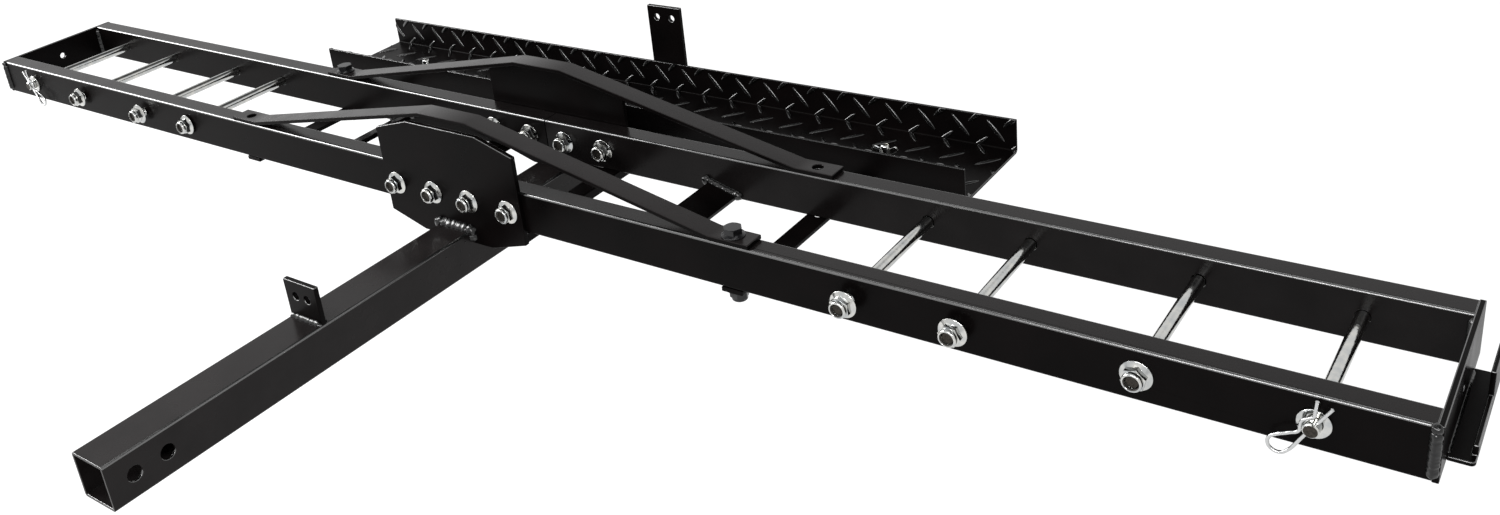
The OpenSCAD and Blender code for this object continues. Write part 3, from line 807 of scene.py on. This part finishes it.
def quick_pin(side):
    """Quick pin and its washer. Gives the middle of its clip's hole and the way through it."""
    node = "quick_pin_" + side
    low, high = corners(node)
    centre = middle((low, high))
    radius = HALF_INCH.radius
    rim = (high.x - low.x) / 2
    length = high.y - low.y
    base = length - PIN_HEAD
    pin = turned(node + "_turned", [
        (radius - TIP_CHAMFER, 0), (radius, TIP_CHAMFER), (radius, base), (rim - 0.8 * MM, base),
        (rim, base + 0.8 * MM), (rim, length - 1.2 * MM), (rim - 1.2 * MM, length - 0.3 * MM),
        (rim - 2.5 * MM, length),
    ])
    move(pin, facing(Vector((centre.x, low.y, centre.z)), Y))
    along = -joint_axis("clip_" + side + "_pull")
    crossing = Vector((centre.x, middle(corners("r_clip_" + side)).y, centre.z))
    bore = WIRE_RADIUS + 0.1 * MM
    hole = turned("hole", [(bore, -2 * radius), (bore, 2 * radius)], sides=24)
    move(hole, facing(crossing, along))
    combine(pin, hole, "DIFFERENCE")
    for material in (ZINC, CUT_END_WITH_PAINTED_SHADE):
        pin.data.materials.append(material)
    # The pin's tip takes the darkened cut steel, as painted shade
    for face in pin.data.polygons:
        if face.normal.y < -0.99 and face.center.y < low.y + TIP_CHAMFER / 2:
            face.material_index = 1
    finish_piece(pin, node, None, "zinc", node)

    ring = "pin_washer_" + side
    box = corners(ring)
    size = box[1] - box[0]
    piece = washer(ring + "_turned", size.x / 2, radius + 0.4 * MM, size.y)
    move(piece, facing(end_at(box, -Y), Y))
    finish_piece(piece, node, ZINC, "zinc", ring)
    return crossing, along


def wire_clip(side, centre, along):
    """Clip bent from one wire: a leg through the pin, a loop, and a bow over the pin's outside."""
    up = Vector((-along.z, 0, along.x)) * (1 if side == "right" else -1)
    curve = bpy.data.curves.new("wire", "CURVE")
    curve.dimensions = "3D"
    curve.bevel_depth = WIRE_RADIUS
    curve.bevel_resolution = 5
    curve.use_fill_caps = True
    curve.resolution_u = 8
    spline = curve.splines.new("BEZIER")
    spline.bezier_points.add(len(WIRE_PATH) - 1)
    for point, (u, v) in zip(spline.bezier_points, WIRE_PATH):
        point.co = centre + along * (u * MM) + up * (v * MM)
        point.handle_left_type = "AUTO"
        point.handle_right_type = "AUTO"
    clip = bpy.data.objects.new("wire_clip_" + side, curve)
    bpy.context.scene.collection.objects.link(clip)
    pick(clip)
    bpy.ops.object.convert(target="MESH")
    clip = bpy.context.object
    edit(clip)
    bpy.ops.mesh.remove_doubles(threshold=2 * MERGE)
    bpy.ops.mesh.normals_make_consistent(inside=False)
    leave()
    finish_piece(clip, "clip_" + side, WIRE, "spring_wire", "r_clip_" + side)


for hand in ("left", "right"):
    wire_clip(hand, *quick_pin(hand))


# Weld beads under the powder

# Length of one ripple of a bead, and its points' radius in bead radii and place in ripples
RIPPLE = 8 * MM
RIPPLE_POINTS = ((0.93, 0), (1, 0.35), (0.98, 0.75))
# Bead radii
BRACKET_BEAD = 9 * MM
MEMBER_BEAD = 6.5 * MM
END_BEAD = 5.5 * MM
NEAR_LUG_BEAD = 5 * MM
FAR_LUG_BEAD = 3.4 * MM
HOOK_BEAD = 2.6 * MM
# Drops of metal at the ends of the bracket's beads and of the end plates' beads
BRACKET_DROP = 8 * MM
END_DROP = 4.5 * MM
# Spatter on the tube beside the bracket: out from the plate, down from the tube's top, and radius
SPATTER = (
    (14, 9, 0.9), (23, 16, 0.7), (31, 6, 0.8), (37, 21, 0.6), (46, 13, 0.8), (58, 26, 0.7),
    (12, 27, 0.8), (70, 11, 0.6), (27, 33, 0.7), (88, 19, 0.6),
)


def lumpy(piece, offset, normal, seed, smoothing):
    """Gives a piece that is open in edit mode the uneven skin of set metal, and closes it."""
    bpy.ops.transform.vertex_random(offset=offset, uniform=0.5, normal=normal, seed=seed)
    leave()
    apply_modifier(piece, "SMOOTH", factor=0.5, iterations=smoothing)


def bead(start, end, radius, seed):
    """Rippled weld bead between two points: a square bar on its edge, whose flats make fillets."""
    way = (end - start).normalized()
    inset = radius * 0.5
    length = (end - start).length - 2 * inset
    count = max(2, round(length / RIPPLE))
    step = length / count
    profile = [(radius * 0.3, -radius * 0.4)]
    for i in range(count):
        profile += [(radius * wide, i * step + step * up) for wide, up in RIPPLE_POINTS]
    profile.append((radius * 0.3, length + radius * 0.4))
    piece = turned("weld", profile, sides=4)
    edit(piece)
    bpy.ops.mesh.subdivide(number_cuts=3)
    lumpy(piece, radius * 0.07, 0.9, seed, smoothing=6)
    move(piece, facing(start + way * inset, way))
    return piece


def drop(centre, radius, seed):
    """Round drop of weld metal, as at a bead's end or in the spatter beside it."""
    deselect()
    bpy.ops.mesh.primitive_ico_sphere_add(subdivisions=3, radius=radius)
    piece = bpy.context.object
    edit(piece)
    lumpy(piece, radius * 0.12, 0.8, seed, smoothing=2)
    move(piece, Matrix.Translation(centre))
    return piece


def weld_group(name, seams, radius, drops=()):
    """Beads of one radius along seams, and drops of their own radii, as one piece."""
    pieces = [bead(Vector(a), Vector(b), radius, seed) for seed, (a, b) in enumerate(seams)]
    pieces += [drop(Vector(centre), size, seed) for seed, (centre, size) in enumerate(drops)]
    finish_piece(join(pieces, name), "carrier", WELD, "powder_coat", angle=SMOOTH_WELD)


def tube_seams(y, foot):
    """Seams across the hitch tube's top at y, and down both its sides to a foot."""
    side, _, top = corners("hitch_tube")[1]
    across = ((-side, y, top), (side, y, top))
    return [across] + [((x, y, top), (x, y, foot)) for x in (-side, side)]


def bracket_welds():
    side, _, top = corners("hitch_tube")[1]
    near, far = corners("bracket_plate_near"), corners("bracket_plate_far")
    front = near[0].y
    seams = tube_seams(front, near[0].z + 2 * MM) + tube_seams(far[1].y, far[0].z + 2 * MM)
    drops = [((x, front, top), BRACKET_DROP) for x in (-side, side)]
    drops += [((side, front - out * MM, top - down * MM), size * MM) for out, down, size in SPATTER]
    weld_group("bracket_welds", seams, BRACKET_BEAD, drops)


def lug_welds():
    low, high = corners("strap_lug_near")
    seams = [((low.x, y, low.z), (high.x, y, low.z)) for y in (low.y, high.y)]
    weld_group("near_lug_welds", seams, NEAR_LUG_BEAD)
    foot = 3 * MM - corners("hitch_tube")[1].z
    weld_group("far_lug_welds", tube_seams(corners("strap_lug_far")[0].y, foot), FAR_LUG_BEAD)


def end_welds(side):
    """Beads where an end plate closes the rails: up the near face, and inside between the rails."""
    plate = corners("end_plate_" + side)
    inner = plate[0].x if side == "right" else plate[1].x
    near_rail, far_rail = corners("rail_near_" + side), corners("rail_far_" + side)
    front = near_rail[0].y
    foot, top = plate[0].z + 3 * MM, plate[1].z - 3 * MM
    seams = [((inner, y, foot), (inner, y, top)) for y in (front, near_rail[1].y, far_rail[0].y)]
    weld_group("end_welds_" + side, seams, END_BEAD, [((inner, front, top), END_DROP)])


def member_welds(side):
    """Beads along the tilted bar's upper face, where it meets the two rails."""
    low, high = corners("cross_member_" + side)
    thick = 6 * MM
    ends = (high.z, low.z + thick)
    left_z, right_z = ends if side == "right" else ends[::-1]
    seams = [((low.x - 2 * MM, y, left_z), (high.x + 1 * MM, y, right_z)) for y in (low.y, high.y)]
    weld_group("member_welds_" + side, seams, MEMBER_BEAD, [(end, MEMBER_BEAD) for end in seams[1]])


def hook_weld():
    low, high = corners("ramp_hook")
    floor = low.z + 4 * MM
    seam = ((low.x, low.y + 4 * MM, floor), (low.x, high.y - 4 * MM, floor))
    weld_group("hook_weld", [seam], HOOK_BEAD)


bracket_welds()
lug_welds()
for hand in ("left", "right"):
    end_welds(hand)
for hand in ("left", "right"):
    member_welds(hand)
hook_weld()


# Camera, at the photograph's viewing angle

IMAGE_WIDTH, IMAGE_HEIGHT = 1500, 515
SENSOR = 36
CAMERA_PLACE = Vector((1.1063, -0.5159, 0.7501))
CAMERA_AZIMUTH = radians(39.36)
CAMERA_ELEVATION = radians(22.11)
CAMERA_ROLL = radians(-7.21)
FOCAL_PIXELS = 1357.4
# Pixel that the lens axis meets, which is off the middle because the photograph is cropped
AXIS_PIXEL = (662.4, 84.2)


def set_camera():
    back = Vector((
        sin(CAMERA_AZIMUTH) * cos(CAMERA_ELEVATION), -cos(CAMERA_AZIMUTH) * cos(CAMERA_ELEVATION),
        sin(CAMERA_ELEVATION),
    ))
    level = (-back).cross(Z).normalized()
    above = level.cross(-back)
    right = level * cos(CAMERA_ROLL) + above * sin(CAMERA_ROLL)
    up = above * cos(CAMERA_ROLL) - level * sin(CAMERA_ROLL)
    turn = Matrix((right, up, back)).transposed().to_4x4()
    data = bpy.data.cameras.new("camera")
    data.sensor_fit = "HORIZONTAL"
    data.sensor_width = SENSOR
    data.lens = FOCAL_PIXELS * SENSOR / IMAGE_WIDTH
    data.shift_x = (IMAGE_WIDTH / 2 - AXIS_PIXEL[0]) / IMAGE_WIDTH
    data.shift_y = (AXIS_PIXEL[1] - IMAGE_HEIGHT / 2) / IMAGE_WIDTH
    data.clip_start = 0.01
    camera = bpy.data.objects.new("camera", data)
    camera.matrix_world = Matrix.Translation(CAMERA_PLACE) @ turn
    bpy.context.scene.collection.objects.link(camera)
    bpy.context.scene.camera = camera


# Studio: a white room with soft lamps

WHITE = linear("#ffffff")
FLOOR_PAINT = linear("#9a9a9a")
FLOOR_HEIGHT = -0.42
FLOOR_SIZE = 60
# Brightness of the floor by itself for the camera and in reflections, to which the light on it adds
# the rest
FLOOR_GLOW = 0.86
MIRRORED_GLOW = 0.72
# Beyond the white surroundings the room is dark overhead, which gives metal its contrast
WHITE_UP_TO = sin(radians(36))
DARK_FROM = sin(radians(52))
DARK = 0.1
# Strength of the world's plain light on the object
SOFT_LIGHT = 0.35
# The two edge strips face the rails' middle, each with its longer side along one line
RAIL_MIDDLE = (0, 0.43, 0.09)
STRIP_LINE = (4.37, -0.87, 1.26)
# Each lamp's name, place, target, direction of its longer side, size in metres and power in watts
LAMPS = (
    ("top_softbox", (0.1, 0.6, 3.0), (0, 0.5, 0), (1, 0, 0), (3.4, 0.5), 16),
    # Strips over the front, mirrored along the upper near edges, brightly on the left half only
    ("edge_strip_left", (-2.5, -0.45, 1.35), RAIL_MIDDLE, STRIP_LINE, (2.3, 0.6), 80),
    ("edge_strip_right", (-0.4, -1.23, 2.47), RAIL_MIDDLE, STRIP_LINE, (2.5, 0.6), 8),
    # Low strip beside the camera, which lights the flanks of the tread
    ("front_strip", (1.0, -1.75, 1.3), (0.2, 0.8, 0.1), (1, 0, 0), (2.4, 0.3), 45),
)


def background_rays(tree):
    """One for a camera ray, and one for a ray that shows the background in metal or glass."""
    paths = add(tree, "ShaderNodeLightPath").outputs
    mirrored = add(
        tree, "ShaderNodeMath", [(0, paths["Is Glossy Ray"]), (1, paths["Is Transmission Ray"])],
        operation="MAXIMUM",
    )
    return paths["Is Camera Ray"], mirrored.outputs["Value"]


def studio_floor():
    deselect()
    bpy.ops.mesh.primitive_plane_add(size=FLOOR_SIZE, location=(0, 0, FLOOR_HEIGHT))
    floor = bpy.context.object
    floor.name = "floor"
    material, tree, output, _ = new_material("white_studio_floor")
    seen, mirrored = background_rays(tree)
    direct = add(tree, "ShaderNodeMath", [(0, seen)], operation="MULTIPLY")
    direct.inputs[1].default_value = FLOOR_GLOW
    level = add(
        tree, "ShaderNodeMath", [(0, mirrored), (2, direct.outputs["Value"])],
        operation="MULTIPLY_ADD",
    )
    level.inputs[1].default_value = MIRRORED_GLOW
    paint = add(tree, "ShaderNodeBsdfDiffuse", Color=FLOOR_PAINT)
    glow = add(tree, "ShaderNodeEmission", [("Strength", level.outputs["Value"])], Color=WHITE)
    both = add(
        tree, "ShaderNodeAddShader", [(0, paint.outputs["BSDF"]), (1, glow.outputs["Emission"])],
    )
    tree.links.new(both.outputs["Shader"], output.inputs["Surface"])
    # Lamps light the object, and the floor's own glow is only for what a ray sees of it
    material.cycles.emission_sampling = "NONE"
    floor.data.materials.append(material)


def studio_world():
    """White for the camera, a room that darkens overhead in reflections, and a soft plain light."""
    world = bpy.data.worlds.new("studio")
    bpy.context.scene.world = world
    world.use_nodes = True
    world.cycles.sampling_method = "NONE"
    tree = world.node_tree
    tree.nodes.clear()
    seen, mirrored = background_rays(tree)
    direction = add(tree, "ShaderNodeTexCoord").outputs["Generated"]
    height = add(tree, "ShaderNodeSeparateXYZ", [("Vector", direction)]).outputs["Z"]
    room = map_range(tree, height, (WHITE_UP_TO, DARK_FROM), (1.0, DARK))
    soft = add(tree, "ShaderNodeBackground", Color=WHITE, Strength=SOFT_LIGHT)
    around = add(tree, "ShaderNodeBackground", [("Strength", room)], Color=WHITE)
    plain = add(tree, "ShaderNodeBackground", Color=WHITE, Strength=1.0)
    lit = add(tree, "ShaderNodeMixShader", [
        (0, mirrored), (1, soft.outputs["Background"]), (2, around.outputs["Background"]),
    ])
    final = add(tree, "ShaderNodeMixShader", [
        (0, seen), (1, lit.outputs["Shader"]), (2, plain.outputs["Background"]),
    ])
    output = add(tree, "ShaderNodeOutputWorld")
    tree.links.new(final.outputs["Shader"], output.inputs["Surface"])


def softbox(name, point, target, along, size, power):
    """Rectangular lamp that faces a target, with its longer side along a direction."""
    back = (Vector(point) - Vector(target)).normalized()
    side = (Vector(along) - back * back.dot(Vector(along))).normalized()
    turn = Matrix((side, back.cross(side), back)).transposed().to_4x4()
    data = bpy.data.lights.new(name, "AREA")
    data.shape = "RECTANGLE"
    data.size, data.size_y = size
    data.energy = power
    lamp = bpy.data.objects.new(name, data)
    lamp.matrix_world = Matrix.Translation(point) @ turn
    bpy.context.scene.collection.objects.link(lamp)


set_camera()
studio_floor()
studio_world()
for lamp_values in LAMPS:
    softbox(*lamp_values)
bpy.context.scene.view_settings.view_transform = "Standard"

bpy.context.view_layer.update()
